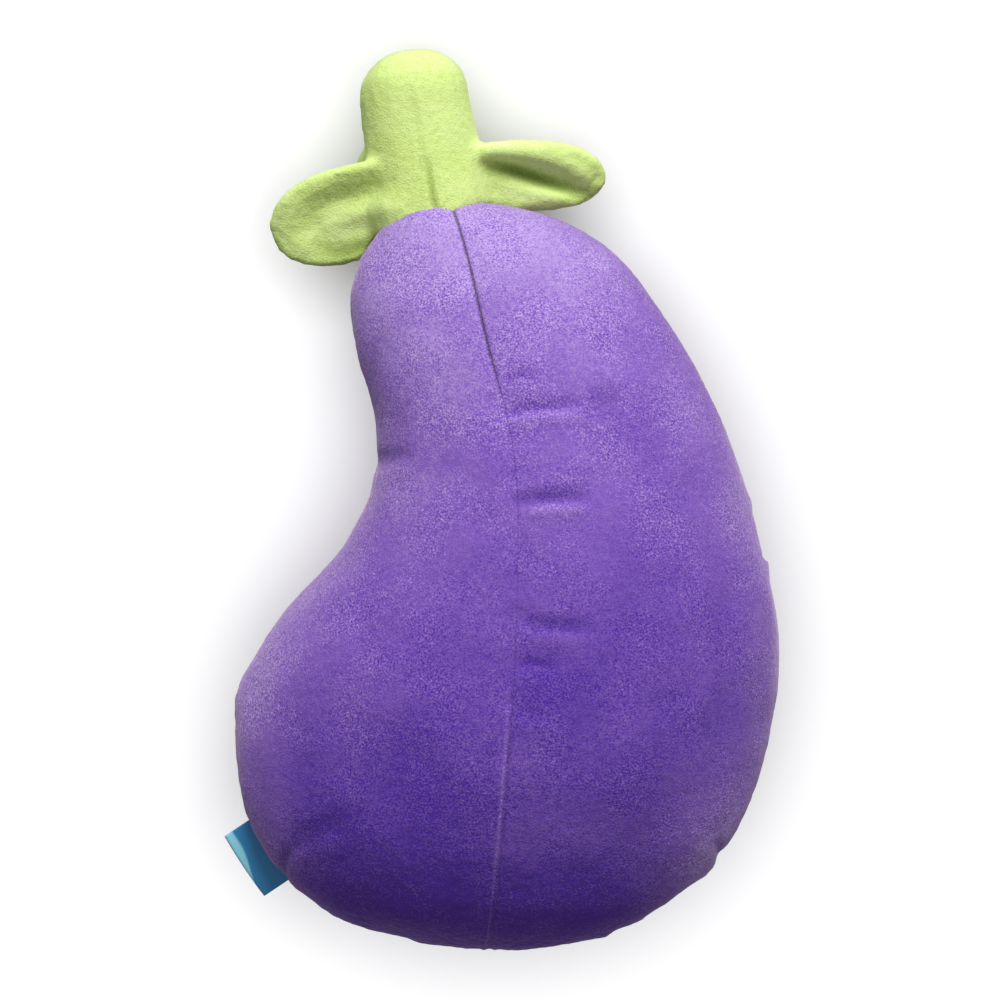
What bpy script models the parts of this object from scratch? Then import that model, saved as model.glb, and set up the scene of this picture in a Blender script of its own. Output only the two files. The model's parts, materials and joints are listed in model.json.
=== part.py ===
"""A stuffed plush eggplant lying on its front, so that its back faces up.

The body is sewn from one front panel and two back panels round a core of fibre stuffing. A stuffed stem
stands on its top end, between three cupped leaves, and a folded ribbon label is caught in the side seam.
Shapes are worked out in millimetres and built in metres: +X to the toy's right, +Y to the stem, +Z up.
"""

import math

import bmesh
import bpy
import numpy as np
from mathutils import Matrix, Vector

MM = 0.001

# Cloth and clearances
CLOTH = 2.4  # plush cloth with its pile
GAP = 0.3  # between neighbouring pieces
ENVELOPE = 0.35  # how far a cutter stands outside the piece that it stands for

# Body: the side seam's outline, seen from above, from the top end down one side and up the other
LEFT_SIDE = (
    (-17.4, 104.5),
    (-36.8, 98.2),
    (-50.2, 84.8),
    (-53.0, 68.3),
    (-47.5, 42.6),
    (-42.6, 19.0),
    (-44.7, 3.9),
    (-57.9, -21.5),
    (-80.3, -48.2),
    (-91.8, -70.8),
    (-92.0, -93.6),
    (-85.4, -119.3),
    (-66.7, -140.1),
    (-35.0, -153.5),
)
RIGHT_SIDE = (
    (-3.3, -158.0),
    (35.4, -153.1),
    (59.3, -140.4),
    (79.4, -121.8),
    (92.8, -89.1),
    (97.4, -63.7),
    (96.6, -39.1),
    (90.8, -14.0),
    (83.6, 11.6),
    (69.5, 44.0),
    (53.0, 70.8),
    (39.6, 87.6),
    (14.3, 100.3),
)
BACK_SEAM = (
    (-17.4, 104.5),
    (-12.0, 87.0),
    (-5.0, 56.0),
    (4.6, 15.0),
    (5.8, -30.0),
    (2.5, -95.0),
    (-3.3, -158.0),
)
BODY_HALF_DEPTH = 55.0  # from the side seam to the back at its highest
SEAM_HEIGHT = 51.0  # of the side seam above the table, level with the belly
BELLY_Y = -60.0
SEAM_SLOPE = -0.09  # the thinner neck settles lower than the belly
BODY_ROWS = 28
BACK_COLUMNS = 6  # in each back panel
FRONT_COLUMNS = 12
POLE_SHARE = 0.010  # of the side seam's length, left open where the seams gather

# Stem
STEM_BASE = (-21.8, 85.0, 32.6)
STEM_TIP = (-33.2, 160.2, 36.0)
STEM_BASE_HALF_WIDTH = 24.0
STEM_NECK_HALF_WIDTH = 19.4
STEM_DEPTH_SHARE = 0.80  # of its width
STEM_CAP_LENGTH = 15.0
STEM_RINGS = 6
STEM_CAP_RINGS = 4
STEM_COLUMNS = 16

# Leaves
LEAF_HALF_THICKNESS = 5.2
LEAF_ROWS = 10
LEAF_COLUMNS = 8

# Label
LABEL_WIDTH = 25.0
LABEL_LENGTH = 14.0  # folded, from its cut ends inside the seam
LABEL_ROOT = (-78.5, -121.5)
LABEL_HEADING = 214.0  # degrees, the way it points from the body
RIBBON = 0.5
LABEL_FOLD_RADIUS = 1.1

# Leaves: the middle line from the stem to the tip, the half width, the radius of the cup and the way it opens
LEAVES = {
    "leaf_left": {
        "spine": ((-24.0, 106.5, 34.0), (-45.0, 105.0, 33.0), (-64.0, 100.0, 32.0), (-80.8, 92.5, 36.0)),
        "half_width": 18.8,
        "cup_radius": 20.0,
        "opening": (0.1, -0.25, 1.0),
    },
    "leaf_right": {
        "spine": ((-20.0, 113.5, 34.0), (-2.0, 116.0, 31.0), (18.0, 117.0, 31.0), (37.6, 114.5, 37.0)),
        "half_width": 14.5,
        "cup_radius": 12.0,
        "opening": (0.0, -0.35, 1.0),
    },
    "leaf_front": {
        "spine": ((-24.5, 100.0, 23.0), (-27.5, 110.0, 9.5), (-29.5, 122.0, 6.6), (-31.0, 138.0, 7.6)),
        "half_width": 22.0,
        "cup_radius": 60.0,
        "opening": (0.0, 0.35, 1.0),
    },
}


def plush(name, colour, roughness=0.95):
    material = bpy.data.materials.new(name)
    material.use_nodes = True
    shader = material.node_tree.nodes["Principled BSDF"]
    shader.inputs["Base Color"].default_value = (*colour, 1.0)
    shader.inputs["Roughness"].default_value = roughness
    shader.inputs["Metallic"].default_value = 0.0
    return material


def curve_through(points, closed=False, steps=16):
    """Points along a smooth curve through the given ones, steps to a span."""
    flat = [Vector((*p, 0.0)[:3]) for p in points]
    curve = bpy.data.curves.new("guide", "CURVE")
    curve.dimensions = "3D"
    curve.resolution_u = steps
    spline = curve.splines.new("BEZIER")
    spline.bezier_points.add(len(flat) - 1)
    spline.use_cyclic_u = closed
    for knot, place in zip(spline.bezier_points, flat):
        knot.co = place
        knot.handle_left_type = "AUTO"
        knot.handle_right_type = "AUTO"
    holder = bpy.data.objects.new("guide", curve)
    mesh = bpy.data.meshes.new_from_object(holder)
    line = np.array([v.co for v in mesh.vertices], float)
    bpy.data.objects.remove(holder)
    bpy.data.curves.remove(curve)
    bpy.data.meshes.remove(mesh)
    return line


def along(line, shares):
    """The points at these shares of a line's length."""
    steps = np.linalg.norm(np.diff(line, axis=0), axis=1)
    reached = np.concatenate([[0.0], np.cumsum(steps)]) / steps.sum()
    return np.stack([np.interp(shares, reached, line[:, k]) for k in range(line.shape[1])], axis=1)


def crossing(line, start, end):
    """Where a line crosses the straight way from start to end, as a share of that way."""
    way = end - start
    side = (line[:, 0] - start[0]) * way[1] - (line[:, 1] - start[1]) * way[0]
    k = int(np.flatnonzero(side[:-1] * side[1:] <= 0)[0])
    share = side[k] / (side[k] - side[k + 1])
    point = line[k] + share * (line[k + 1] - line[k])
    return float((point - start) @ way / (way @ way))


def film_height(flat):
    """The height of a soap film blown up over a flat grid whose rim is held down.

    Its square root is the form of a stuffed panel: over an ellipse it is an ellipsoid.
    """
    rows, columns = flat.shape[:2]
    number = np.arange(rows * columns).reshape(rows, columns)
    a, b, c, d = (n.ravel() for n in (number[:-1, :-1], number[:-1, 1:], number[1:, 1:], number[1:, :-1]))
    triangles = np.concatenate([np.stack([a, b, c], 1), np.stack([a, c, d], 1)])
    points = flat.reshape(-1, 2)
    stiffness = np.zeros((len(points), len(points)))
    load = np.zeros(len(points))
    for triangle in triangles:
        corners = points[triangle]
        edges = np.roll(corners, -1, axis=0) - np.roll(corners, 1, axis=0)
        area = abs(np.linalg.det(np.stack([corners[1] - corners[0], corners[2] - corners[0]]))) / 2
        stiffness[np.ix_(triangle, triangle)] += edges @ edges.T / (4 * area)
        load[triangle] += area / 3
    inside = number[1:-1, 1:-1].ravel()
    height = np.zeros(len(points))
    height[inside] = np.linalg.solve(stiffness[np.ix_(inside, inside)], load[inside])
    return height.reshape(rows, columns)


def body_rings():
    """Rings round the body from the top end down: over the back from left to right, then under the front."""
    outline = curve_through(LEFT_SIDE + RIGHT_SIDE, closed=True)[:, :2]
    bottom = int(np.argmin(np.linalg.norm(outline - RIGHT_SIDE[0], axis=1)))
    top = outline[:1]
    left_side = outline[: bottom + 1]
    right_side = np.concatenate([outline[bottom:], top])[::-1]
    seam = curve_through(BACK_SEAM)[:, :2]
    rows = np.linspace(POLE_SHARE, 1 - POLE_SHARE, BODY_ROWS + 1)
    left, right = along(left_side, rows), along(right_side, rows)

    middle = np.array([crossing(seam, a, b) for a, b in zip(left, right)])
    seam_angle = np.arccos(1 - 2 * middle)[:, None]
    turn = np.linspace(0, 1, BACK_COLUMNS + 1)
    back = np.concatenate([turn * seam_angle, (seam_angle + turn * (math.pi - seam_angle))[:, 1:]], axis=1)
    front = np.repeat(np.linspace(math.pi, 0, FRONT_COLUMNS + 1)[None], len(rows), axis=0)

    def across(angle):
        share = (1 - np.cos(angle))[..., None] / 2
        return left[:, None] + share * (right - left)[:, None]

    def lift(angle):
        height = np.sqrt(film_height(across(angle)))
        narrow = np.linalg.norm(right - left, axis=1)
        height[0] = height[1] * narrow[0] / narrow[1]
        height[-1] = height[-2] * narrow[-1] / narrow[-2]
        return BODY_HALF_DEPTH * height / height.max()

    def at_height(flat, rise):
        seam_height = SEAM_HEIGHT + SEAM_SLOPE * (flat[..., 1] - BELLY_Y)
        return np.dstack([flat, np.maximum(seam_height + rise, 0.0)])

    over = at_height(across(back), lift(back))
    under = at_height(across(front), -lift(front))
    return np.concatenate([over, under[:, 1:-1]], axis=1)


def stem_rings():
    """Rings round the stem from its base to its tip: from the middle of its back round by the left."""
    base, tip = np.array(STEM_BASE), np.array(STEM_TIP)
    length = np.linalg.norm(tip - base)
    axis = (tip - base) / length
    side = np.cross(axis, (0.0, 0.0, 1.0))
    side /= np.linalg.norm(side)
    deep = np.cross(side, axis)
    straight = length - STEM_CAP_LENGTH
    shaft = np.linspace(0, 1, STEM_RINGS + 1)
    cap = np.linspace(0, math.radians(84), STEM_CAP_RINGS + 1)[1:]
    reach = np.concatenate([shaft * straight, straight + STEM_CAP_LENGTH * np.sin(cap)])
    flare = STEM_BASE_HALF_WIDTH - STEM_NECK_HALF_WIDTH
    half_width = np.concatenate(
        [STEM_NECK_HALF_WIDTH + flare * (1 - shaft) ** 1.6, STEM_NECK_HALF_WIDTH * np.cos(cap)]
    )
    angle = np.linspace(0, 2 * math.pi, STEM_COLUMNS, endpoint=False)
    centre = base + reach[:, None] * axis
    out = STEM_DEPTH_SHARE * np.cos(angle)[:, None] * deep - np.sin(angle)[:, None] * side
    return centre[:, None] + half_width[:, None, None] * out


def grown(rings, distance):
    """The rings moved outwards along the surface's normals, or inwards where the distance is negative."""
    round_it = np.roll(rings, -1, axis=1) - np.roll(rings, 1, axis=1)
    normal = np.cross(round_it, np.gradient(rings, axis=0))
    normal /= np.linalg.norm(normal, axis=2, keepdims=True)
    outwards = ((rings - rings.mean(axis=1, keepdims=True)) * normal).sum()
    return rings + distance * math.copysign(1, outwards) * normal


def add_solid(name, points, faces, material):
    mesh = bpy.data.meshes.new(name)
    mesh.from_pydata([Vector(p) * MM for p in points], [], faces)
    shape = bmesh.new()
    shape.from_mesh(mesh)
    bmesh.ops.recalc_face_normals(shape, faces=shape.faces)
    shape.to_mesh(mesh)
    shape.free()
    mesh.shade_smooth()
    mesh.set_sharp_from_angle(angle=math.radians(50))
    if material:
        mesh.materials.append(material)
    solid = bpy.data.objects.new(name, mesh)
    bpy.context.scene.collection.objects.link(solid)
    return solid


def grid_faces(number, closed=False):
    """Two triangles for each cell of a grid of point numbers, whose last column may join the first."""
    if closed:
        number = np.concatenate([number, number[:, :1]], axis=1)
    a, b, c, d = (n.ravel() for n in (number[:-1, :-1], number[:-1, 1:], number[1:, 1:], number[1:, :-1]))
    return np.concatenate([np.stack([a, b, c], 1), np.stack([a, c, d], 1)]).tolist()


def rim_of(number):
    """The point numbers round the edge of a grid, in order, back to the first."""
    return np.concatenate([number[0], number[1:, -1], number[-1, -2::-1], number[-2::-1, 0]])


def add_panel(name, outer, inner, columns, material):
    """A cloth panel: a strip of the rings' columns, its seam edges drawn back by half a gap."""
    shells = []
    for rings in (outer, inner):
        strip = rings[:, np.array(columns) % rings.shape[1]].copy()
        for edge, beside in ((0, 1), (-1, -2)):
            way = strip[:, beside] - strip[:, edge]
            strip[:, edge] += GAP * 0.6 * way / np.linalg.norm(way, axis=1, keepdims=True)
        shells.append(strip)
    number = np.arange(shells[0][..., 0].size).reshape(shells[0].shape[:2])
    other = number + number.size
    rims = np.stack([rim_of(number), rim_of(other)])
    faces = grid_faces(number) + grid_faces(other) + grid_faces(rims)
    return add_solid(name, np.concatenate([s.reshape(-1, 3) for s in shells]), faces, material)


def add_filling(name, rings, material):
    """A closed solid inside the rings, with a flat end at each end ring."""
    number = np.arange(rings[..., 0].size).reshape(rings.shape[:2])
    ends = [number[0].tolist(), number[-1].tolist()]
    return add_solid(name, rings.reshape(-1, 3), grid_faces(number, closed=True) + ends, material)


def add_envelope(name, rings):
    """A cutter that stands for a piece and the gap round it."""
    cutter = add_filling(name, grown(rings, ENVELOPE), None)
    cutter.hide_render = True
    cutter.display_type = "WIRE"
    return cutter


def cut(solid, *cutters):
    for cutter in cutters:
        modifier = solid.modifiers.new(cutter.name, "BOOLEAN")
        modifier.operation = "DIFFERENCE"
        modifier.object = cutter
    return solid


def add_body(cloth, fibre):
    outer = body_rings()
    inner = np.array(grown(outer, -CLOTH))
    inner[..., 2] = np.maximum(inner[..., 2], CLOTH)
    core = grown(outer, -CLOTH - GAP)
    core[..., 2] = np.maximum(core[..., 2], CLOTH + GAP)
    right_seam = 2 * BACK_COLUMNS
    add_panel("body_back_left_panel", outer, inner, range(BACK_COLUMNS + 1), cloth)
    add_panel("body_back_right_panel", outer, inner, range(BACK_COLUMNS, right_seam + 1), cloth)
    add_panel("body_front_panel", outer, inner, range(right_seam, right_seam + FRONT_COLUMNS + 1), cloth)
    add_filling("body_stuffing", core, fibre)
    return add_envelope("body_envelope", outer)


def add_stem(body_envelope, cloth, fibre):
    outer = stem_rings()
    inner = grown(outer, -CLOTH)
    half = STEM_COLUMNS // 2
    left = add_panel("stem_left_panel", outer, inner, range(half + 1), cloth)
    right = add_panel("stem_right_panel", outer, inner, range(half, STEM_COLUMNS + 1), cloth)
    core = add_filling("stem_stuffing", grown(outer, -CLOTH - GAP)[:-1], fibre)
    for piece in (left, right, core):
        cut(piece, body_envelope)
    return add_envelope("stem_envelope", outer)


def leaf_surface(spine, half_width, cup_radius, opening):
    """The middle surface of a cupped leaf, rows from its base to its tip, with its normals and its fullness.

    Fullness is 1 along the middle and 0 at the sewn edge. The cup opens along opening.
    """
    line = curve_through(spine, steps=24)
    tip_turn = np.linspace(0, 1, LEAF_ROWS + 1)
    shares = tip_turn * 0.35 + np.sin(tip_turn * math.pi / 2) * 0.65
    centre = along(line, shares)
    forward = np.gradient(centre, axis=0)
    forward /= np.linalg.norm(forward, axis=1, keepdims=True)
    width = np.cross(forward, opening)
    width /= np.linalg.norm(width, axis=1, keepdims=True)
    up = np.cross(width, forward)
    round_end = np.sqrt(np.clip(1 - ((shares - 0.58).clip(0) / 0.43) ** 2, 0, 1))
    reach = (half_width * round_end)[:, None]
    place = np.sin(np.linspace(-0.5, 0.5, LEAF_COLUMNS + 1) * math.pi)[None]
    bend = place * reach / cup_radius
    across, rise = cup_radius * np.sin(bend), cup_radius * (1 - np.cos(bend))
    middle = centre[:, None] + across[..., None] * width[:, None] + rise[..., None] * up[:, None]
    normal = np.cos(bend)[..., None] * up[:, None] - np.sin(bend)[..., None] * width[:, None]
    fullness = np.sqrt(np.clip(1 - place**2, 0, 1)) * round_end[:, None]
    return middle, normal, fullness


def add_lens(name, top, bottom, material):
    """A closed solid between two grids, which share their edge except at the base row."""
    number = np.arange(top[..., 0].size).reshape(top.shape[:2])
    other = number + number.size
    rims = np.stack([rim_of(number), rim_of(other)])
    faces = grid_faces(number) + grid_faces(other) + grid_faces(rims)
    return add_solid(name, np.concatenate([top.reshape(-1, 3), bottom.reshape(-1, 3)]), faces, material)


def add_leaf(name, leaf, cutters, cloth, fibre):
    """A leaf of two cloth layers, sewn together round the edge, over thin wadding."""
    middle, normal, fullness = leaf_surface(**leaf)
    thick = LEAF_HALF_THICKNESS * fullness[..., None]
    edge = 0.8
    for side, word in ((1, "back"), (-1, "front")):
        inside = np.maximum(thick - CLOTH, GAP / 2)
        outside = np.maximum(thick, GAP / 2 + edge)
        layer = add_lens(
            f"{name}_{word}_layer", middle + side * outside * normal, middle + side * inside * normal, cloth
        )
        cut(layer, *cutters)
    full = (slice(0, LEAF_ROWS - 2), slice(2, LEAF_COLUMNS - 1))
    inside = (thick - CLOTH - GAP)[full] * normal[full]
    wadding = add_lens(f"{name}_wadding", middle[full] + inside, middle[full] - inside, fibre)
    cut(wadding, *cutters)


def add_label(body_envelope, satin):
    """A ribbon folded in half, its two ends together in the side seam."""
    heading = math.radians(LABEL_HEADING)
    out = Vector((math.cos(heading), math.sin(heading), 0.0))
    across = Vector((-out.y, out.x, 0.0))
    seam_height = SEAM_HEIGHT + SEAM_SLOPE * (LABEL_ROOT[1] - BELLY_Y)
    root = Vector((*LABEL_ROOT, seam_height))
    bow = np.linspace(math.pi / 2, -math.pi / 2, 9)
    straight = LABEL_LENGTH - LABEL_FOLD_RADIUS

    def side(radius, root_height):
        turn = [(straight + radius * math.cos(a), radius * math.sin(a)) for a in bow]
        return [(0.0, root_height), *turn, (0.0, -root_height)]

    outer = side(LABEL_FOLD_RADIUS, RIBBON + 0.1)
    inner = side(LABEL_FOLD_RADIUS - RIBBON, 0.1)
    profile = outer + inner[::-1]
    points = [
        root + out * reach + Vector((0, 0, rise)) + across * edge
        for edge in (-LABEL_WIDTH / 2, LABEL_WIDTH / 2)
        for reach, rise in profile
    ]
    count = len(profile)
    near = np.arange(count)
    walls = np.stack([np.append(near, 0), np.append(near, 0) + count])
    last = len(outer)
    strips = [[k, k + 1, count - 2 - k, count - 1 - k] for k in range(last - 1)]
    ends = strips + [[n + count for n in strip] for strip in strips]
    label = add_solid("label", points, grid_faces(walls) + ends, satin)
    cut(label, body_envelope)


def centre_on_table():
    """Moves the whole toy so that the middle of its footprint is the origin."""
    bpy.context.view_layer.update()
    graph = bpy.context.evaluated_depsgraph_get()
    shown = [o.evaluated_get(graph) for o in bpy.context.scene.objects if not o.hide_render]
    corners = np.array([o.matrix_world @ Vector(c) for o in shown for c in o.bound_box])
    low, high = corners.min(axis=0), corners.max(axis=0)
    shift = Matrix.Translation((-(low[0] + high[0]) / 2, -(low[1] + high[1]) / 2, -low[2]))
    for o in bpy.context.scene.objects:
        o.data.transform(shift)


def main():
    for o in list(bpy.data.objects):
        bpy.data.objects.remove(o)
    purple = plush("purple_plush", (0.24, 0.12, 0.49))
    lime = plush("lime_plush", (0.60, 0.80, 0.22))
    fibre = plush("polyester_fibre", (0.85, 0.85, 0.82))
    satin = plush("blue_satin", (0.01, 0.18, 0.38), 0.35)
    body_envelope = add_body(purple, fibre)
    stem_envelope = add_stem(body_envelope, lime, fibre)
    for name, leaf in LEAVES.items():
        add_leaf(name, leaf, (stem_envelope, body_envelope), lime, fibre)
    add_label(body_envelope, satin)
    centre_on_table()


main()
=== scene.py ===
"""A stuffed plush eggplant lying on its front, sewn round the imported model.

Lengths are in metres, with MM for sizes in millimetres: +X to the toy's right, +Y to the stem, +Z up.
"""

import json
import math

import bmesh
import bpy
import numpy as np
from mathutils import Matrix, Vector, noise
from mathutils.bvhtree import BVHTree
from mathutils.kdtree import KDTree

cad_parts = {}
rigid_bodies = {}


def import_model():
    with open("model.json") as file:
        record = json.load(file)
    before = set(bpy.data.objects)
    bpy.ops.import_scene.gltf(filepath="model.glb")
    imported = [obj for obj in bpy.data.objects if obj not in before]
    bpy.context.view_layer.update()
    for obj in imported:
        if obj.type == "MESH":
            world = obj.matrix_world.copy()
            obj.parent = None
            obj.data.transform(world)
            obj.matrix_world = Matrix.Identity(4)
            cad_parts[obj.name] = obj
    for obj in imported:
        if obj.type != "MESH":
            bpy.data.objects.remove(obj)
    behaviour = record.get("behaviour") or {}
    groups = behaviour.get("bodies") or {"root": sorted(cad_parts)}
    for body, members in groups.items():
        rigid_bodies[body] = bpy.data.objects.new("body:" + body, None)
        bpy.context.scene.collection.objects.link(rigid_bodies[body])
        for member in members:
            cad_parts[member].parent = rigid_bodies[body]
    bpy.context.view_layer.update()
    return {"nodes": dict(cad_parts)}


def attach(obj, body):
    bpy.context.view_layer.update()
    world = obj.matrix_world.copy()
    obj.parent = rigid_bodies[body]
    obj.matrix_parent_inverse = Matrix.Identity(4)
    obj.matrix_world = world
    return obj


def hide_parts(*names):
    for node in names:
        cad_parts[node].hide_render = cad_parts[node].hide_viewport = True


MM = 0.001
LENS = 100  # mm
SENSOR = 36  # mm
VIEW_WIDTH = 0.352  # of what the camera sees at the toy's middle height
VIEW_MIDDLE = (-0.0003, -0.0019, 0.051)

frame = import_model()


# ---------------------------------------------------------------- small helpers


def linear(code):
    """An sRGB hex colour as the linear RGBA that shaders take."""
    parts = [int(code[k : k + 2], 16) / 255 for k in (1, 3, 5)]
    parts = [c / 12.92 if c <= 0.04045 else ((c + 0.055) / 1.055) ** 2.4 for c in parts]
    return (*parts, 1.0)


def deselect():
    for o in bpy.context.view_layer.objects:
        o.select_set(False)


def pick(piece):
    deselect()
    piece.hide_set(False)
    piece.select_set(True)
    bpy.context.view_layer.objects.active = piece


def get_points(mesh):
    points = np.zeros(len(mesh.vertices) * 3)
    mesh.vertices.foreach_get("co", points)
    return points.reshape(-1, 3)


def set_points(mesh, points):
    mesh.vertices.foreach_set("co", np.ascontiguousarray(points, np.float32).ravel())
    mesh.update()


def get_normals(mesh):
    normals = np.zeros(len(mesh.vertices) * 3, np.float32)
    mesh.vertices.foreach_get("normal", normals)
    return normals.reshape(-1, 3).astype(float)


def store(mesh, name, values):
    attribute = mesh.attributes.get(name) or mesh.attributes.new(name, "FLOAT", "POINT")
    attribute.data.foreach_set("value", np.ascontiguousarray(values, np.float32))


def tree_of(points):
    """The points in a tree that finds the nearest one."""
    tree = KDTree(len(points))
    for k, p in enumerate(points):
        tree.insert(p, k)
    tree.balance()
    return tree


def smoothstep(low, high, value):
    t = np.clip((value - low) / (high - low), 0, 1)
    return t * t * (3 - 2 * t)


def spline(knots, shares, places=None):
    """Points at these shares along a natural cubic spline through the knots."""
    knots = np.asarray(knots, float)
    if knots.ndim == 1:
        knots = knots[:, None]
    if places is None:
        steps = np.linalg.norm(np.diff(knots, axis=0), axis=1)
        places = np.concatenate([[0], np.cumsum(steps)]) / steps.sum()
    places = np.asarray(places, float)
    h = np.diff(places)
    n = len(knots)
    a = np.eye(n)
    b = np.zeros_like(knots)
    for k in range(1, n - 1):
        a[k, k - 1 : k + 2] = h[k - 1], 2 * (h[k - 1] + h[k]), h[k]
        b[k] = 6 * ((knots[k + 1] - knots[k]) / h[k] - (knots[k] - knots[k - 1]) / h[k - 1])
    m = np.linalg.solve(a, b)
    shares = np.asarray(shares, float)
    k = np.clip(np.searchsorted(places, shares) - 1, 0, n - 2)
    t, u = (shares - places[k])[:, None], (places[k + 1] - shares)[:, None]
    hk = h[k][:, None]
    return (
        m[k] * u**3 / (6 * hk)
        + m[k + 1] * t**3 / (6 * hk)
        + (knots[k] / hk - m[k] * hk / 6) * u
        + (knots[k + 1] / hk - m[k + 1] * hk / 6) * t
    )


def ripple(points, size, seed, octaves=1):
    """Smooth noise between about -1 and 1 whose lumps are about this size in mm."""
    shift = Vector((seed * 17.3, seed * 5.1, seed * 9.7))
    total = np.zeros(len(points))
    weight = 0.0
    for octave in range(octaves):
        scale = 2.0**octave / (size * MM)
        share = 0.5**octave
        total += share * np.array([noise.noise(Vector(p) * scale + shift) for p in points])
        weight += share
    return total / weight * 1.6


def near_path(flat, path):
    """Each flat point's distance from a path, its side, how far along it is, and how far past an end."""
    step = 0.4
    path = np.asarray(path, float)
    length = np.linalg.norm(np.diff(path, axis=0), axis=1).sum()
    line = spline(path, np.linspace(0, 1, max(int(length / step), 8)))
    tree = tree_of(np.pad(line, ((0, 0), (0, 1))))
    forward = np.gradient(line, axis=0)
    forward /= np.linalg.norm(forward, axis=1, keepdims=True)
    found = [tree.find((*p, 0.0)) for p in flat]
    k = np.array([f[1] for f in found])
    distance = np.array([f[2] for f in found])
    off = flat - line[k]
    side = np.sign(forward[k, 0] * off[:, 1] - forward[k, 1] * off[:, 0])
    past = np.abs((off * forward[k]).sum(axis=1))
    return distance, side, k / (len(line) - 1), past


# ---------------------------------------------------------------- camera, light and floor


def add_camera():
    """Straight above the toy, with its stem end at the top of the view."""
    data = bpy.data.cameras.new("camera")
    data.lens = LENS
    data.sensor_width = SENSOR
    data.clip_end = 20
    camera = bpy.data.objects.new("camera", data)
    x, y, z = VIEW_MIDDLE
    camera.location = (x, y, z + VIEW_WIDTH * LENS / SENSOR)
    camera.rotation_euler = (0, 0, 0)
    bpy.context.scene.collection.objects.link(camera)
    bpy.context.scene.camera = camera


def add_light(name, place, target, size, power):
    data = bpy.data.lights.new(name, "AREA")
    data.shape = "DISK"
    data.size = size
    data.energy = power
    light = bpy.data.objects.new(name, data)
    light.location = place
    heading = Vector(target) - Vector(place)
    light.rotation_euler = heading.to_track_quat("-Z", "Y").to_euler()
    bpy.context.scene.collection.objects.link(light)
    return light


def add_world():
    """Soft white surroundings, brighter towards the stem end and above."""
    world = bpy.data.worlds.new("studio")
    world.use_nodes = True
    tree = world.node_tree
    background = tree.nodes["Background"]
    background.inputs["Color"].default_value = (1, 1, 1, 1)
    way = add_node(tree, "ShaderNodeTexCoord").outputs["Generated"]
    lean = add_node(tree, "ShaderNodeVectorMath", {0: way}, operation="DOT_PRODUCT")
    lean.inputs[1].default_value = (0.1, 0.75, 0.65)
    strength = add_node(
        tree,
        "ShaderNodeMapRange",
        {"Value": lean.outputs["Value"]},
        From_Min=-0.8,
        To_Min=0.19,
        To_Max=0.38,
    )
    tree.links.new(strength.outputs["Result"], background.inputs["Strength"])
    bpy.context.scene.world = world


def add_floor():
    deselect()
    bpy.ops.mesh.primitive_plane_add(size=12)
    floor = bpy.context.object
    floor.name = "floor"
    # matt white paper: rough and a little short of pure white
    paper, _, shader = new_material("matt white paper")
    shader.inputs["Base Color"].default_value = linear("#F6F6F6")
    shader.inputs["Roughness"].default_value = 0.9
    floor.data.materials.append(paper)
    floor.visible_diffuse = False
    floor.visible_glossy = False
    return floor


def add_studio():
    bpy.context.scene.view_settings.view_transform = "Standard"
    add_world()
    floor = add_floor()
    key = add_light("key", (0.15, 1.25, 1.05), (0, 0, 0.05), 0.8, 28)
    data = bpy.data.lights.new("table light", "SUN")
    data.energy = 2.9
    data.angle = math.radians(70)
    table = bpy.data.objects.new("table light", data)
    bpy.context.scene.collection.objects.link(table)
    toy = bpy.data.collections.new("toy")
    stage = bpy.data.collections.new("stage")
    stage.objects.link(floor)
    key.light_linking.receiver_collection = toy
    table.light_linking.receiver_collection = stage
    return toy


# ---------------------------------------------------------------- materials


def add_node(tree, kind, links=None, **settings):
    """A node with its settings, and links from its inputs' names to other nodes' outputs."""
    node = tree.nodes.new(kind)
    for name, value in settings.items():
        if hasattr(node, name):
            setattr(node, name, value)
        else:
            node.inputs[name.replace("_", " ")].default_value = value
    for name, output in (links or {}).items():
        tree.links.new(output, node.inputs[name])
    return node


def new_material(name):
    material = bpy.data.materials.new(name)
    material.use_nodes = True
    return material, material.node_tree, material.node_tree.nodes["Principled BSDF"]


# Sizes in the plush, in mm
TUFT, CLUMP = 0.62, 2.2
NAP = 36  # patches brushed one way
FLAT_PATCH = 17  # patches where the tufts show less


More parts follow.
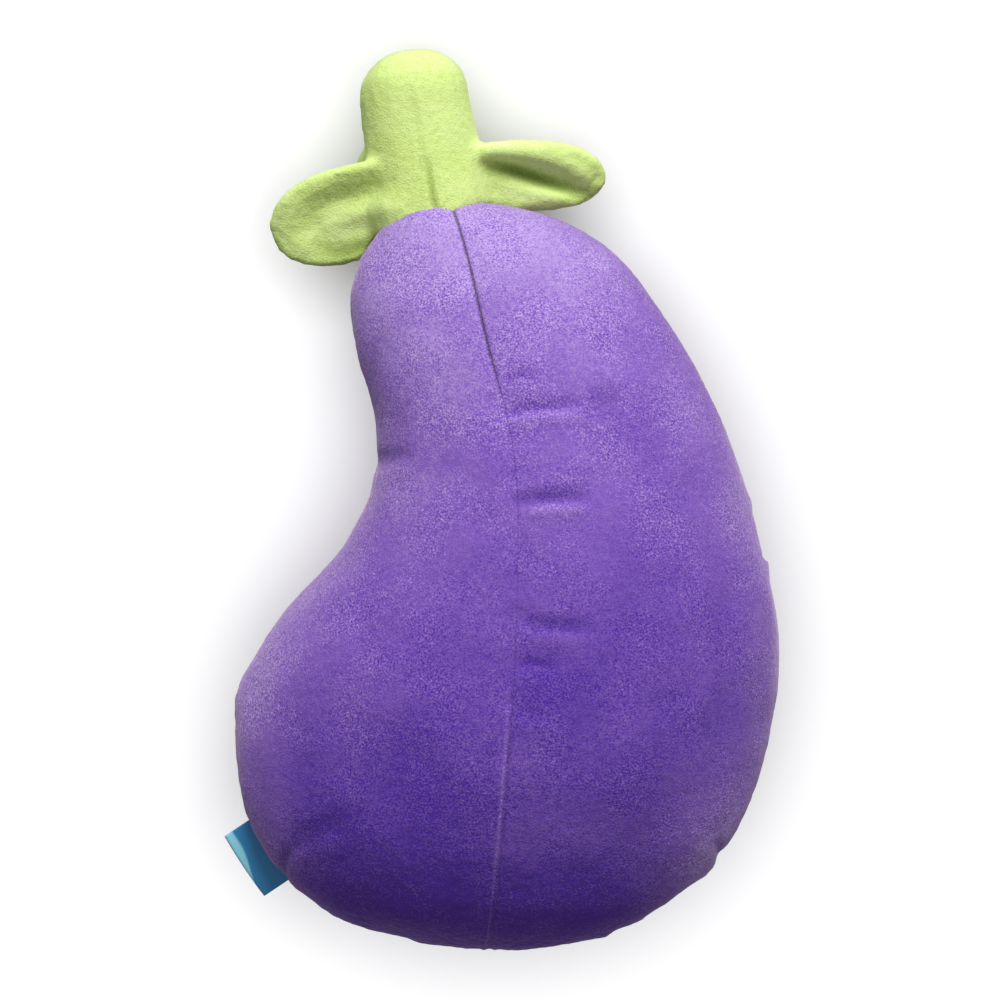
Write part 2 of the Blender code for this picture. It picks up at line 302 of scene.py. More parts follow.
def plush(name, deep, middle, light, painted_shade_colour, grain, sheen_tint):
    """Short-pile plush: matt, soft at grazing angles, speckled tuft by tuft and brushed in patches, with
    painted light and shade read from the mesh.
    """
    material, tree, shader = new_material(name)
    place = add_node(tree, "ShaderNodeTexCoord").outputs["Object"]
    tufts = add_node(
        tree,
        "ShaderNodeTexNoise",
        {"Vector": place},
        Scale=1 / (TUFT * MM),
        Detail=1.0,
        Roughness=0.6,
    )
    clumps = add_node(
        tree,
        "ShaderNodeTexNoise",
        {"Vector": place},
        Scale=1 / (CLUMP * MM),
        Detail=2.0,
        Roughness=0.5,
    )
    nap = add_node(
        tree,
        "ShaderNodeTexNoise",
        {"Vector": place},
        Scale=1 / (NAP * MM),
        Detail=3.0,
        Roughness=0.5,
    )
    lying = add_node(
        tree, "ShaderNodeMapping", {"Vector": place}, Location=(3.1, 7.7, 1.3)
    )
    flat = add_node(
        tree,
        "ShaderNodeTexNoise",
        {"Vector": lying.outputs[0]},
        Scale=1 / (FLAT_PATCH * MM),
        Detail=2.0,
    )
    seam = add_node(tree, "ShaderNodeAttribute", attribute_name="seam_shade")

    depth = add_node(
        tree,
        "ShaderNodeMapRange",
        {"Value": flat.outputs["Fac"]},
        From_Min=0.35,
        From_Max=0.65,
    )
    depth.inputs["To Min"].default_value = 0.45 * grain
    depth.inputs["To Max"].default_value = 1.35 * grain
    # painted light and shade: paler where the light falls, darker in shade, stored on the mesh
    painted_light_tone = add_node(tree, "ShaderNodeAttribute", attribute_name="painted_light_tone")

    # the tone is the painted light and shade stored on the mesh, plus each noise about its middle
    nap_off = add_node(
        tree, "ShaderNodeMath", {0: nap.outputs["Fac"]}, operation="SUBTRACT"
    )
    nap_off.inputs[1].default_value = 0.5
    nap_and_painted_light = add_node(
        tree,
        "ShaderNodeMath",
        {0: nap_off.outputs[0], 2: painted_light_tone.outputs["Fac"]},
        operation="MULTIPLY_ADD",
    )
    nap_and_painted_light.inputs[1].default_value = 0.50
    clump_off = add_node(
        tree, "ShaderNodeMath", {0: clumps.outputs["Fac"]}, operation="SUBTRACT"
    )
    clump_off.inputs[1].default_value = 0.5
    clumped = add_node(
        tree,
        "ShaderNodeMath",
        {0: clump_off.outputs[0], 2: nap_and_painted_light.outputs[0]},
        operation="MULTIPLY_ADD",
    )
    clumped.inputs[1].default_value = 0.30
    tuft_off = add_node(
        tree, "ShaderNodeMath", {0: tufts.outputs["Fac"]}, operation="SUBTRACT"
    )
    tuft_off.inputs[1].default_value = 0.5
    tone = add_node(
        tree,
        "ShaderNodeMath",
        {0: tuft_off.outputs[0], 1: depth.outputs[0], 2: clumped.outputs[0]},
        operation="MULTIPLY_ADD",
    )
    ramp = add_node(tree, "ShaderNodeValToRGB", {"Fac": tone.outputs[0]})
    ramp.color_ramp.elements[0].position = 0.0
    ramp.color_ramp.elements[0].color = linear(deep)
    ramp.color_ramp.elements[1].position = 1.0
    ramp.color_ramp.elements[1].color = linear(light)
    ramp.color_ramp.elements.new(0.5).color = linear(middle)
    # painted shade: the colour is multiplied by the shade colour along seams and in folds
    shaded = add_node(tree, "ShaderNodeMix", data_type="RGBA", blend_type="MULTIPLY")
    tree.links.new(ramp.outputs["Color"], shaded.inputs[6])
    tree.links.new(seam.outputs["Fac"], shaded.inputs[0])
    shaded.inputs[7].default_value = linear(painted_shade_colour)
    tree.links.new(shaded.outputs[2], shader.inputs["Base Color"])

    fine = add_node(
        tree,
        "ShaderNodeBump",
        {"Height": tufts.outputs["Fac"]},
        Strength=0.5,
        Distance=0.5 * MM,
    )
    coarse = add_node(
        tree,
        "ShaderNodeBump",
        {"Height": clumps.outputs["Fac"]},
        Strength=0.3,
        Distance=0.7 * MM,
    )
    tree.links.new(fine.outputs[0], coarse.inputs["Normal"])
    tree.links.new(coarse.outputs[0], shader.inputs["Normal"])
    shader.inputs["Roughness"].default_value = 0.95
    shader.inputs["Specular IOR Level"].default_value = 0.1
    shader.inputs["Sheen Weight"].default_value = 0.55
    shader.inputs["Sheen Roughness"].default_value = 0.38
    shader.inputs["Sheen Tint"].default_value = linear(sheen_tint)
    return material


def satin(name, thread, shine):
    """Woven satin ribbon: a tight weave, fairly smooth, with a painted highlight along the fold."""
    material, tree, shader = new_material(name)
    place = add_node(tree, "ShaderNodeTexCoord").outputs["UV"]
    weave = add_node(
        tree,
        "ShaderNodeTexWave",
        {"Vector": place},
        Scale=16.0,
        Distortion=0.5,
        Detail=1.0,
    )
    painted_highlight = add_node(tree, "ShaderNodeAttribute", attribute_name="painted_highlight")
    # the painted highlight lightens the colour towards the shine colour
    lit = add_node(
        tree,
        "ShaderNodeMath",
        {0: weave.outputs["Fac"], 2: painted_highlight.outputs["Fac"]},
        operation="MULTIPLY_ADD",
    )
    lit.inputs[1].default_value = 0.16
    ramp = add_node(tree, "ShaderNodeValToRGB", {"Fac": lit.outputs[0]})
    ramp.color_ramp.elements[0].color = linear(thread)
    ramp.color_ramp.elements[1].color = linear(shine)
    tree.links.new(ramp.outputs["Color"], shader.inputs["Base Color"])
    bump = add_node(
        tree,
        "ShaderNodeBump",
        {"Height": weave.outputs["Fac"]},
        Strength=0.3,
        Distance=0.08 * MM,
    )
    tree.links.new(bump.outputs[0], shader.inputs["Normal"])
    shader.inputs["Roughness"].default_value = 0.36
    shader.inputs["Sheen Weight"].default_value = 0.15
    return material


# ---------------------------------------------------------------- plush forms


def cad_copy(name):
    """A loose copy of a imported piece, welded."""
    piece = bpy.data.objects.new(name + "_copy", frame["nodes"][name].data.copy())
    bpy.context.scene.collection.objects.link(piece)
    shape = bmesh.new()
    shape.from_mesh(piece.data)
    bmesh.ops.remove_doubles(shape, verts=shape.verts, dist=1e-5)
    shape.to_mesh(piece.data)
    shape.free()
    piece.data.materials.clear()
    return piece


def blank_from(name, nodes, voxel, grow):
    """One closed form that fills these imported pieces, as an even mesh."""
    copies = [cad_copy(n) for n in nodes]
    for piece in copies:
        set_points(piece.data, get_points(piece.data) + grow * MM * get_normals(piece.data))
    pick(copies[0])
    for piece in copies[1:]:
        piece.select_set(True)
    if len(copies) > 1:
        bpy.ops.object.join()
    blank = bpy.context.object
    blank.name = name
    remesh = blank.modifiers.new("even mesh", "REMESH")
    remesh.mode = "VOXEL"
    remesh.voxel_size = voxel * MM
    bpy.ops.object.modifier_apply(modifier=remesh.name)
    smooth = blank.modifiers.new("soften", "SMOOTH")
    smooth.factor = 0.5
    smooth.iterations = 8
    bpy.ops.object.modifier_apply(modifier=smooth.name)
    return blank


SEWN_WITHIN = 0.7  # mm between two pieces that are sewn together


def near_nodes(first, second):
    """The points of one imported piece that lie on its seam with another."""
    a, b = (get_points(frame["nodes"][n].data) for n in (first, second))
    tree = tree_of(b)
    close = np.array([tree.find(p)[2] for p in a]) < SEWN_WITHIN * MM
    return np.unique(np.round(a[close], 6), axis=0)


FRAMES = 20  # of cloth


def inflate(blank, pinned, pressure, cap):
    """Blows the blank up with its seams held, and lets no point move further than the cap."""
    before = get_points(blank.data)
    group = blank.vertex_groups.new(name="sewn")
    for k, weight in enumerate(pinned):
        if weight > 0:
            group.add([k], float(weight), "REPLACE")
    pick(blank)
    cloth = blank.modifiers.new("filling", "CLOTH")
    settings = cloth.settings
    settings.quality = 6
    settings.mass = 0.25
    settings.tension_stiffness = 12
    settings.compression_stiffness = 12
    settings.bending_stiffness = 0.4
    settings.use_pressure = True
    settings.uniform_pressure_force = pressure
    settings.effector_weights.gravity = 0
    settings.vertex_group_mass = "sewn"
    cloth.collision_settings.use_collision = False
    cloth.point_cache.frame_start = 1
    cloth.point_cache.frame_end = FRAMES
    for k in range(1, FRAMES + 1):
        bpy.context.scene.frame_set(k)
    bpy.ops.object.modifier_apply(modifier=cloth.name)
    moved = get_points(blank.data) - before
    far = np.linalg.norm(moved, axis=1, keepdims=True)
    limit = cap * MM
    set_points(blank.data, before + moved * np.minimum(1, limit / np.maximum(far, 1e-9)))
    bpy.context.scene.frame_set(1)


def subdivide(blank):
    pick(blank)
    finer = blank.modifiers.new("finer", "SUBSURF")
    finer.levels = finer.render_levels = 1
    bpy.ops.object.modifier_apply(modifier=finer.name)


# ---------------------------------------------------------------- body

BODY_ROWS = 330
BACK_COLUMNS = 110  # in each back panel
FRONT_COLUMNS = 148
WALL = 2.0  # of the plush, in mm
SEAM_RISE = 0.07  # radians: the side seam shows from above at the rounded end
BODY_PANELS = ("body_back_left_panel", "body_back_right_panel", "body_front_panel")


def seam_line(first, second):
    """The knots of the seam between two packed panels, on their outside, from the stem end down."""
    tree = tree_of(get_points(frame["nodes"]["body_stuffing"].data))
    points = near_nodes(first, second)
    points = points[np.array([tree.find(p)[2] for p in points]) > 2.2 * MM]
    points = points[np.argsort(-points[:, 1])]
    kept = [points[0]]
    for p in points[1:]:
        if np.linalg.norm(p - kept[-1]) > 2 * MM:
            kept.append(p)
    return np.array(kept)


def with_poles(line, poles):
    return np.concatenate([poles[:1], line, poles[1:]])


def body_seams():
    """The knots of the left, right and back seams, from one pole of the body to the other."""
    left_panel, right_panel, front = BODY_PANELS
    left, right = seam_line(left_panel, front), seam_line(right_panel, front)
    back = seam_line(left_panel, right_panel)
    poles = np.array([(left[k] + right[k]) / 2 for k in (0, -1)])
    poles[:, 1] += (0.4 * MM, -0.1 * MM)
    return [with_poles(line, poles) for line in (left, right, back)]


def body_blank(lines):
    """The stuffed body, blown up between its seams."""
    blank = blank_from("body blank", ["body_stuffing"], 4.0, grow=2.6)
    points = get_points(blank.data)
    tree = tree_of(
        np.concatenate([spline(line, np.linspace(0, 1, 600)) for line in lines])
    )
    away = np.array([tree.find(p)[2] for p in points]) / MM
    pinned = np.where((away < 3.0) | (points[:, 2] < 1.2 * MM), 1.0, 0.0)
    inflate(blank, pinned, 4.0, 3.0)
    subdivide(blank)
    return blank


def body_grid(blank, lines):
    """The blank's surface as a grid: rows from the stem end down, columns right round from the left seam."""
    rows = np.linspace(0, 1, BODY_ROWS + 1)
    rows[0], rows[-1] = 0.0006, 0.9994
    places = np.concatenate([[0], np.linspace(0.01, 0.99, len(lines[0]) - 2), [1]])
    left, right, back = (spline(line, rows, places) for line in lines)
    centre = (left + right) / 2
    across = right - left
    half = np.linalg.norm(across, axis=1) / 2
    across /= 2 * half[:, None]
    up = np.cross(across, np.cross((0, 0, 1.0), across))
    up /= np.linalg.norm(up, axis=1, keepdims=True)
    off = back - centre
    lift = 0.58
    seam_turn = np.arctan2((off * up).sum(axis=1) / lift, -(off * across).sum(axis=1))[:, None]
    low_seam = SEAM_RISE * smoothstep(0.62, 0.80, rows)[:, None]

    def turns(columns):
        """Steps from one seam to the next, closer together at both."""
        t = np.linspace(0, 1, columns + 1)[None]
        return t - 0.6 * np.sin(2 * math.pi * t) / (2 * math.pi)

    first = low_seam + turns(BACK_COLUMNS) * (seam_turn - low_seam)
    second = (seam_turn + turns(BACK_COLUMNS) * (math.pi - low_seam - seam_turn))[:, 1:]
    third = (math.pi - low_seam + turns(FRONT_COLUMNS) * (math.pi + 2 * low_seam))[:, 1:-1]
    turn = np.concatenate([first, second, third], axis=1)
    way = -np.cos(turn)[..., None] * across[:, None] + lift * np.sin(turn)[..., None] * up[:, None]
    inwards = np.zeros((len(rows), 3))
    inwards[:, 1] = -np.exp(-rows / 0.05) + np.exp((rows - 1) / 0.05)
    start = centre + 14 * MM * inwards
    target = centre[:, None] + way * half[:, None, None]
    surface = BVHTree.FromObject(blank, bpy.context.evaluated_depsgraph_get())
    grid = np.zeros(way.shape)
    for k in range(way.shape[0]):
        origin = Vector(start[k])
        for j in range(way.shape[1]):
            heading = (Vector(target[k, j]) - origin).normalized()
            hit = surface.ray_cast(origin, heading)[0]
            grid[k, j] = hit if hit is not None else target[k, j]
    for end in (0, -1):
        grid[end] = grid[end].mean(axis=0)
    return grid


def grid_normals(grid):
    round_it = np.roll(grid, -1, axis=1) - np.roll(grid, 1, axis=1)
    normal = np.cross(round_it, np.gradient(grid, axis=0))
    normal /= np.maximum(np.linalg.norm(normal, axis=2, keepdims=True), 1e-12)
    outwards = ((grid - grid.mean(axis=1, keepdims=True)) * normal).sum()
    return normal * math.copysign(1, outwards)


def run_lengths(grid, seam_columns):
    """For each seam: how far each grid point lies from it round the body, and how far down it, in mm."""
    wide = np.concatenate([grid, grid[:, :1]], axis=1)
    steps = np.linalg.norm(np.diff(wide, axis=1), axis=2) / MM
    reach = np.concatenate([np.zeros((len(grid), 1)), np.cumsum(steps, axis=1)], axis=1)
    whole = reach[:, -1:]
    away = []
    for column in seam_columns:
        gap = reach[:, :-1] - reach[:, column : column + 1]
        gap = (gap + whole / 2) % np.maximum(whole, 1e-6) - whole / 2
        away.append(gap)
    down = np.linalg.norm(np.diff(grid, axis=0), axis=2) / MM
    down = np.concatenate([np.zeros((1, grid.shape[1])), np.cumsum(down, axis=0)])
    return away, down


def crease(flat, path, depth, width, ridge, ridge_off, ridge_width):
    """A fold pressed along a path, which fades out at both ends, with a raised ridge beside it."""
    distance, side, share, past = near_path(flat, path)
    fade = np.sin(np.clip(share, 0, 1) * math.pi) ** 0.6 * np.exp(-((past / width) ** 2))
    signed = distance * side
    rise = -depth * np.exp(-((signed / width) ** 2))
    rise += ridge * np.exp(-(((signed - ridge_off) / ridge_width) ** 2))
    return rise * fade


# Where the places of folds and edges are measured from, in mm
MIDDLE = (0.0, -1.0)
# Folds in the back panels, in mm: path, depth, width, ridge, ridge's distance from the fold, ridge's width.
# They run from the hand-sewn opening in the back seam, where the closing thread pulls the cloth.
BACK_FOLDS = (
    (((1.0, 29.2), (14.0, 30.8), (29.0, 31.6)), 0.9, 2.2, 0.75, -4.2, 2.4),
    (((1.0, 39.5), (6.0, 41.0), (13.5, 42.2)), 0.5, 2.2, 0.2, -3.4, 2.6),
    (((28.0, 33.5), (35.0, 33.5), (42.0, 35.0)), 0.6, 5.0, 0.0, 0.0, 3.0),
    (((3.0, -1.0), (16.0, 0.2), (31.0, 0.4)), 1.1, 2.8, 0.9, -4.8, 2.4),
    (((5.0, -41.0), (18.0, -42.6), (31.5, -44.0)), 0.8, 2.8, 0.4, -4.6, 3.0),
    (((5.5, -21.0), (12.0, -22.0), (20.0, -22.0)), 0.2, 2.6, 0.1, -3.4, 2.6),
    (((5.0, -54.5), (12.0, -55.5), (19.0, -56.0)), 0.6, 2.6, 0.2, -3.8, 2.6),
    (((4.5, -71.0), (10.0, -72.0), (16.0, -72.0)), 0.45, 2.4, 0.2, -3.4, 2.4),
)
# Folds at the side seams, in the same form
SIDE_FOLDS = (
    (((-50.0, 10.0), (-42.0, 12.0), (-36.0, 14.0), (-29.0, 15.0)), 0.8, 3.2, 0.4, -5.0, 4.0),
    (((-42.5, 63.0), (-43.0, 50.0), (-43.5, 38.0), (-43.0, 24.0)), 0.45, 3.5, 0.3, -5.0, 4.0),
    (((-69.0, -117.0), (-73.0, -123.0), (-74.5, -130.0), (-75.0, -136.0)), 0.9, 2.2, 0.5, 4.0, 2.6),
    (((-71.0, -118.0), (-63.0, -113.0), (-52.0, -109.0)), 0.7, 4.5, 0.4, -7.0, 5.0),
    (((81.0, -132.0), (75.5, -124.0), (73.0, -116.0)), 1.1, 2.0, 0.4, 3.8, 2.8),
)
# Patches painted paler or darker, in part painted light and shade: middle and radius in mm, and how much
# paler
STROKED = (
    (-80, -72, 26, 0.16),
    (72, -125, 26, 0.30),
    (-45, -128, 26, -0.16),
    (45, 5, 36, -0.10),
    (25, -60, 24, -0.10),
    (-35, 70, 26, 0.10),
    (-38, -5, 22, 0.10),
    (-45, -85, 24, -0.05),
)
# How far the cloth stands out or in, in mm: at the side seams, by how far up the toy it is,
# and at the bottom, by how far across
RIGHT_EDGE = (
    (60.0, 0.0), (12.0, 0.0), (3.0, 0.1), (-1.0, 0.6), (-3.4, 0.6), (-6.4, -0.7),
    (-11.0, -0.4), (-16.0, -0.9), (-19.0, -1.0), (-21.3, -2.0), (-23.4, 0.9), (-26.0, 0.2),
    (-30.0, -0.6), (-40.0, 0.0), (-98.0, -0.4), (-110.0, -2.0), (-119.0, -1.4), (-127.0, 0.0),
    (-136.0, -2.0), (-144.0, -1.6), (-152.0, 0.0),
)
LEFT_EDGE = (
    (45.0, 0.0), (30.0, -0.9), (10.0, -1.0), (0.0, -1.7), (-8.0, -1.2), (-17.0, -1.5),
    (-25.0, 0.0), (-34.0, 1.1), (-42.0, 1.2), (-50.0, 0.9), (-58.0, 0.7), (-66.0, 1.6),
    (-71.0, 1.8), (-78.0, 0.0), (-86.0, -0.4), (-93.0, -0.7), (-100.0, -0.2), (-118.0, -1.3),
    (-127.0, -1.3), (-136.0, -1.2), (-146.0, 0.0),
)
BOTTOM_EDGE = (
    (-60.0, 0.0), (-45.0, 0.5), (-38.0, -0.4), (-27.0, 0.4), (-18.0, -0.3), (-9.0, 0.3),
    (-2.2, 1.0), (0.4, -0.7), (8.0, 0.1), (20.0, -0.3), (29.0, 0.2), (35.5, 1.2),
    (39.0, -0.6), (44.0, 0.3), (48.5, 0.8), (52.0, -0.5), (62.0, 0.3), (69.5, 0.9),
    (73.0, -0.9), (77.0, 0.4), (84.0, 0.0),
)


def profile(table, places):
    table = sorted(table)
    return np.interp(places, [p for p, _ in table], [v for _, v in table])


def sculpt_body(grid):
    """Seams, folds, puckers, lumps of filling and tufts of pile, pressed into the smooth form."""
    normal = grid_normals(grid)
    (left, right, back), down = run_lengths(grid, (0, 2 * BACK_COLUMNS, BACK_COLUMNS))
    flat = grid[..., :2].reshape(-1, 2) / MM - MIDDLE
    shape = grid.shape[:2]
    x, y = flat[:, 0].reshape(shape), flat[:, 1].reshape(shape)
    z = grid[..., 2] / MM
    side = np.minimum(np.abs(left), np.abs(right))
    back = np.where(z > 45, back, 99.0)

    # the back seam: a tight line at the neck, lost where the opening was closed by hand, then a fine ridge
    tight = 0.06 + 0.94 * smoothstep(28, 52, y)
    tight = np.maximum(tight, 0.22 * smoothstep(-62, -84, y))
    ends = np.minimum(down, down[-1] - down)
    tight *= smoothstep(0, 10, ends)
    height = -tight * 0.8 * np.exp(-np.abs(back) / 0.7) - 0.6 * np.exp(-((back / 5) ** 2))
    height += 0.35 * smoothstep(-62, -82, y) * np.exp(-(((back + 1.8) / 1.0) ** 2))
    height -= 1.3 * np.exp(-side / 1.0) + 0.7 * np.exp(-((side / 5.0) ** 2))

    # the seams' own length is longer than the cloth beside them, which gathers into puckers
    along_it = np.stack([down / 9.5, np.zeros(shape), np.zeros(shape)], axis=-1).reshape(-1, 3)
    gather = ripple(along_it * MM, 1.0, seed=1.0, octaves=2).reshape(shape)
    height += (0.25 + 0.65 * smoothstep(-70, -115, y)) * gather * np.exp(-((side / 6.5) ** 2)) * 0.8
    sewn_shut = smoothstep(38, 28, y) * smoothstep(-74, -64, y)
    tugs = ripple(along_it * MM * (1.7, 1, 1), 1.0, seed=2.0).reshape(shape)
    height += 0.35 * sewn_shut * tugs * np.exp(-((back / 5) ** 2))

    folded = np.zeros(shape)
    for k, (path, *sizes) in enumerate(BACK_FOLDS + SIDE_FOLDS):
        rise = crease(flat, path, *sizes).reshape(shape)
        folded += rise * (z > 60 if k < len(BACK_FOLDS) else smoothstep(20, 36, z))
    height += folded
    height += profile(RIGHT_EDGE, y) * np.exp(-((right / 8.0) ** 2))
    height += profile(LEFT_EDGE, y) * np.exp(-((left / 10.0) ** 2))
    height += profile(BOTTOM_EDGE, x) * np.exp(-((side / 7.0) ** 2)) * smoothstep(-112, -128, y)
    shoulder = ((x + 30) / 14) ** 2 + ((y - 101) / 10) ** 2
    height += 3.6 * np.exp(-shoulder) * smoothstep(15, 35, z)

    points = grid.reshape(-1, 3)
    calm = 1 - 0.7 * np.exp(-((side / 12.0) ** 2))
    height += calm * 0.8 * ripple(points, 42, seed=3.0).reshape(shape)
    height += calm * 0.25 * ripple(points, 13, seed=4.0).reshape(shape)
    height += 0.10 * ripple(points, 2.3, seed=5.0).reshape(shape)
    height *= smoothstep(0, 4, ends) * 0.8 + 0.2
    pile = WALL * (1 - 0.7 * smoothstep(55, 95, z))
    shaped = grid + normal * ((height + pile) * MM)[..., None]
    shaped[..., 1] += 2.2 * MM * smoothstep(-138, -160, y)
    shaped[..., 2] = np.maximum(shaped[..., 2], 0.0)
    for end in (0, -1):
        shaped[end] = shaped[end].mean(axis=0)

    # painted shade: darker along the seam lines and in the folds, where shade falls
    shade = 0.75 * tight * np.exp(-((back / 0.5) ** 2)) + 0.6 * np.exp(-((side / 0.7) ** 2))
    shade += 0.30 * np.clip(-folded - 0.15, 0, 1)

    # painted light and shade: paler to the stem end, which faces the key light, at the sides, on ridges and
    # in a fine line beside the lower back seam, darker at the bottom and in folds
    painted_paleness = 0.20 + normal[..., 1] * 0.10 + smoothstep(-125, 110, y) * 0.42
    painted_paleness += 0.16 * np.clip(folded, -1.5, 1)
    painted_paleness += 0.10 * np.exp(-((side / 9) ** 2)) * smoothstep(-80, -140, y)
    painted_paleness += 0.36 * np.exp(-((side / 26) ** 2)) * smoothstep(40, 0, y) * smoothstep(30, 70, np.abs(x))
    painted_paleness -= 0.18 * smoothstep(-108, -140, y) * np.exp(-((x / 62) ** 2))
    painted_paleness += 0.28 * smoothstep(-60, -80, y) * np.exp(-(((back + 1.4) / 0.6) ** 2))
    for px, py, radius, paler in STROKED:
        painted_paleness += paler * np.exp(-((x - px) ** 2 + (y - py) ** 2) / radius**2) * smoothstep(20, 40, z)
    return shaped, {"seam_shade": np.clip(shade, 0, 1), "painted_light_tone": np.clip(painted_paleness, 0.05, 0.95)}


def add_sheet(name, grid, attributes):
    """A grid primitive laid over the given points, then given the thickness of the cloth inwards."""
    rows, columns = grid.shape[:2]
    deselect()
    bpy.ops.mesh.primitive_grid_add(x_subdivisions=columns - 1, y_subdivisions=rows - 1)
    piece = bpy.context.object
    piece.name = name
    piece.data.name = name
    set_points(piece.data, grid.reshape(-1, 3))
    for key, values in attributes.items():
        store(piece.data, key, values.ravel())
    shape = bmesh.new()
    shape.from_mesh(piece.data)
    bmesh.ops.remove_doubles(shape, verts=shape.verts, dist=0.01 * MM)
    bmesh.ops.reverse_faces(shape, faces=shape.faces)
    shape.to_mesh(piece.data)
    shape.free()
    wall = piece.modifiers.new("cloth", "SOLIDIFY")
    wall.thickness = WALL * MM
    wall.offset = -1.0
    bpy.ops.object.modifier_apply(modifier=wall.name)
    piece.data.shade_smooth()
    return piece


def finish_piece(piece, material, toy, nodes):
    piece.data.materials.append(material)
    toy.objects.link(piece)
    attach(piece, "root")
    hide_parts(*nodes)


def add_body(purple, toy):
    lines = body_seams()
    blank = body_blank(lines)
    grid = body_grid(blank, lines)
    bpy.data.objects.remove(blank)
    shaped, looks = sculpt_body(grid)
    cuts = (0, BACK_COLUMNS, 2 * BACK_COLUMNS, grid.shape[1])
    wide = np.concatenate([shaped, shaped[:, :1]], axis=1)
    looks = {key: np.concatenate([value, value[:, :1]], axis=1) for key, value in looks.items()}
    for k, name in enumerate(BODY_PANELS):
        columns = slice(cuts[k], cuts[k + 1] + 1)
        piece = add_sheet(
            name.replace("_panel", "_cover"),
            wide[:, columns],
            {key: value[:, columns] for key, value in looks.items()},
        )
        covered = (name, "body_stuffing") if k == 2 else (name,)
        finish_piece(piece, purple, toy, covered)


# ---------------------------------------------------------------- stem and leaves

# Folds in the green pieces, in mm: path, depth, width, ridge, ridge's distance from the fold, ridge's width.
# A negative depth is a soft roll that stands up.
GREEN_FOLDS = {
    "stem_and_side_leaves": (
        (((-17.5, 90.0), (-22.0, 99.0), (-24.5, 109.0), (-26.2, 120.0)), 1.0, 1.2, 0.0, 0.0, 1.0),
        (((-26.0, 114.0), (-29.0, 130.0), (-32.0, 146.0)), 0.2, 1.6, 0.0, 0.0, 1.0),
        (
            ((-36.0, 112.0), (-44.0, 110.6), (-54.0, 107.4), (-64.0, 103.4), (-71.0, 96.0)),
            *(0.4, 3.2, 0.0, 0.0, 4.0),
        ),
        (((-33.0, 101.0), (-44.0, 102.0), (-56.0, 99.5), (-64.0, 96.0)), -2.0, 4.5, 0.0, 0.0, 4.0),
        (((-68.0, 91.0), (-60.0, 88.0), (-52.0, 88.6), (-42.0, 92.0)), 1.2, 3.4, 0.0, 0.0, 3.0),
        (((-8.0, 119.4), (4.0, 116.6), (15.0, 112.8), (24.0, 110.0), (35.0, 106.5)), 1.8, 2.8, 0.0, 0.0, 3.6),
        (((-6.0, 113.0), (8.0, 110.5), (20.0, 107.5), (30.0, 105.0)), -1.0, 3.0, 0.0, 0.0, 3.6),
        (((-6.0, 123.0), (8.0, 122.6), (20.0, 119.6), (33.0, 113.0)), -2.4, 3.4, 0.0, 0.0, 3.0),
    ),
    "front_leaf": ((((-30.0, 104.0), (-31.0, 118.0), (-31.0, 132.0)), 0.8, 3.0, 0.0, 0.0, 3.0),),
}


FRONT_LEAF_WIDER = 1.12
GREEN_VOXEL, GREEN_SWELL = 1.5, 0.6  # mm


def green_cover(name, nodes):
    """Stuffed green pieces sewn together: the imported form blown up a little, with folds, lumps and pile."""
    piece = blank_from(name + "_cover", nodes, GREEN_VOXEL, grow=0.5)
    points = get_points(piece.data)
    lowest = points[:, 2] < points[:, 2].min() + 0.6 * MM
    inflate(piece, np.where(lowest, 1.0, 0.0), 2.0, GREEN_SWELL)
    subdivide(piece)
    points, normals = get_points(piece.data), get_normals(piece.data)
    flat = points[:, :2] / MM - MIDDLE
    height = 0.2 * ripple(points, 22, seed=6.0)
    height += 0.10 * ripple(points, 9, seed=7.0)
    height += 0.08 * ripple(points, 2.2, seed=8.0)
    folded = np.zeros(len(points))
    for path, *sizes in GREEN_FOLDS[name]:
        folded += crease(flat, path, *sizes) * smoothstep(0.05, 0.4, normals[:, 2])
    points += normals * ((height + folded) * MM)[:, None]
    if name == "front_leaf":
        middle = points[:, 0].mean()
        points[:, 0] = middle + FRONT_LEAF_WIDER * (points[:, 0] - middle)
    points[:, 2] = np.maximum(points[:, 2], 0.2 * MM)
    set_points(piece.data, points)
    # painted shade in the folds, and painted light: paler where the pieces face the stem end and the key
    # light and on ridges, darker in folds
    store(piece.data, "seam_shade", np.clip(-folded / 2.6, 0, 0.85))
    painted_paleness = 0.52 + 0.15 * normals[:, 1] + 0.10 * np.clip(folded, -2, 1)
    store(piece.data, "painted_light_tone", np.clip(painted_paleness, 0, 1))
    piece.data.shade_smooth()
    return piece


def add_greens(lime, toy):
    nodes = [f"stem_{part}" for part in ("left_panel", "right_panel", "stuffing")]
    layers = ("back_layer", "front_layer", "wadding")
    nodes += [f"leaf_{side}_{layer}" for side in ("left", "right") for layer in layers]
    piece = green_cover("stem_and_side_leaves", nodes)
    finish_piece(piece, lime, toy, nodes)
    nodes = [f"leaf_front_{layer}" for layer in layers]
    piece = green_cover("front_leaf", nodes)
    finish_piece(piece, lime, toy, nodes)


# ---------------------------------------------------------------- label

# The label folded, and its fold's radius, in mm
LABEL_WIDTH, LABEL_LENGTH, LABEL_FOLD = 25.0, 14.0, 1.0
LABEL_ROOT = (-78.5, -122.5, 56.4)
LABEL_HEADING = math.radians(214)


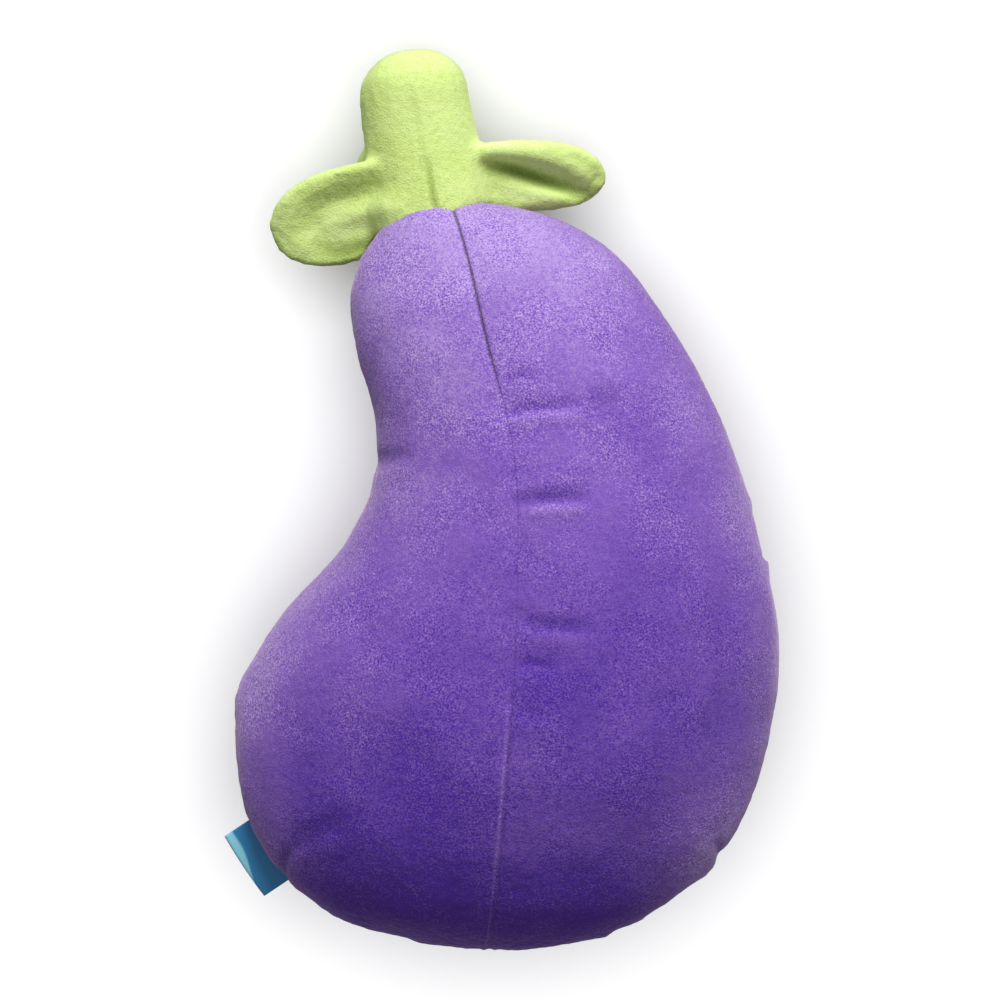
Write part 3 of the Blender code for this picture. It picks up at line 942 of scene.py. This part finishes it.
def add_label(ribbon, toy):
    """A bare ribbon folded in half, with its two cut ends inside the side seam."""
    straight = LABEL_LENGTH - LABEL_FOLD
    length = 2 * straight + math.pi * LABEL_FOLD
    deselect()
    bpy.ops.mesh.primitive_grid_add(x_subdivisions=72, y_subdivisions=36)
    piece = bpy.context.object
    piece.name = "label_ribbon"
    share = get_points(piece.data)[:, :2] / 2 + 0.5
    run = share[:, 0] * length
    turn = np.clip((run - straight) / LABEL_FOLD, 0, math.pi)
    far = np.where(run < straight, run, np.where(run > length - straight, length - run, straight))
    out = far + LABEL_FOLD * np.sin(turn)
    rise = LABEL_FOLD * np.cos(turn)
    across = (share[:, 1] - 0.5) * LABEL_WIDTH
    sag = -1.2 * (out / LABEL_LENGTH) ** 2
    sag += 0.5 * np.sin(across / LABEL_WIDTH * 2.4 + 0.5) * (out / LABEL_LENGTH)
    out *= 1 - 0.03 * (across / LABEL_WIDTH * 2) ** 2
    heading = np.array([math.cos(LABEL_HEADING), math.sin(LABEL_HEADING), 0])
    sideways = np.array([-heading[1], heading[0], 0])
    place = np.array(LABEL_ROOT) + out[:, None] * heading + across[:, None] * sideways
    place[:, 2] += rise + sag
    set_points(piece.data, place * MM)
    # painted highlight along the fold, in a wedge across the ribbon
    edge = 1.0 - out / LABEL_LENGTH
    wedge = 0.30 * smoothstep(0.9, 0.2, share[:, 1])
    painted_highlight = smoothstep(wedge, wedge * 0.75, edge) * (turn < 1.6) * (wedge > 0.01)
    store(piece.data, "painted_highlight", painted_highlight * 0.85)
    wall = piece.modifiers.new("ribbon", "SOLIDIFY")
    wall.thickness = 0.4 * MM
    wall.offset = 0.0
    bpy.ops.object.modifier_apply(modifier=wall.name)
    piece.data.shade_smooth()
    finish_piece(piece, ribbon, toy, ("label",))


def main():
    add_camera()
    toy = add_studio()
    # purple short-pile plush: strong speckle, with a pinkish sheen at grazing angles
    purple = plush(
        "purple short-pile plush",
        deep="#4E2C9C",
        middle="#8460B8",
        light="#BEA6DC",
        painted_shade_colour="#4C3E66",
        grain=1.25,
        sheen_tint="#F6DCF8",
    )
    # lime short-pile plush: weaker speckle, with olive painted shade in folds and seams
    lime = plush(
        "lime short-pile plush",
        deep="#96AC38",
        middle="#CCE386",
        light="#E8F8B6",
        painted_shade_colour="#647C06",
        grain=0.55,
        sheen_tint="#F4FBC8",
    )
    # blue satin ribbon: woven and fairly smooth
    ribbon = satin("blue satin ribbon", thread="#0A7CBC", shine="#9CE8FA")
    add_body(purple, toy)
    add_greens(lime, toy)
    add_label(ribbon, toy)


main()
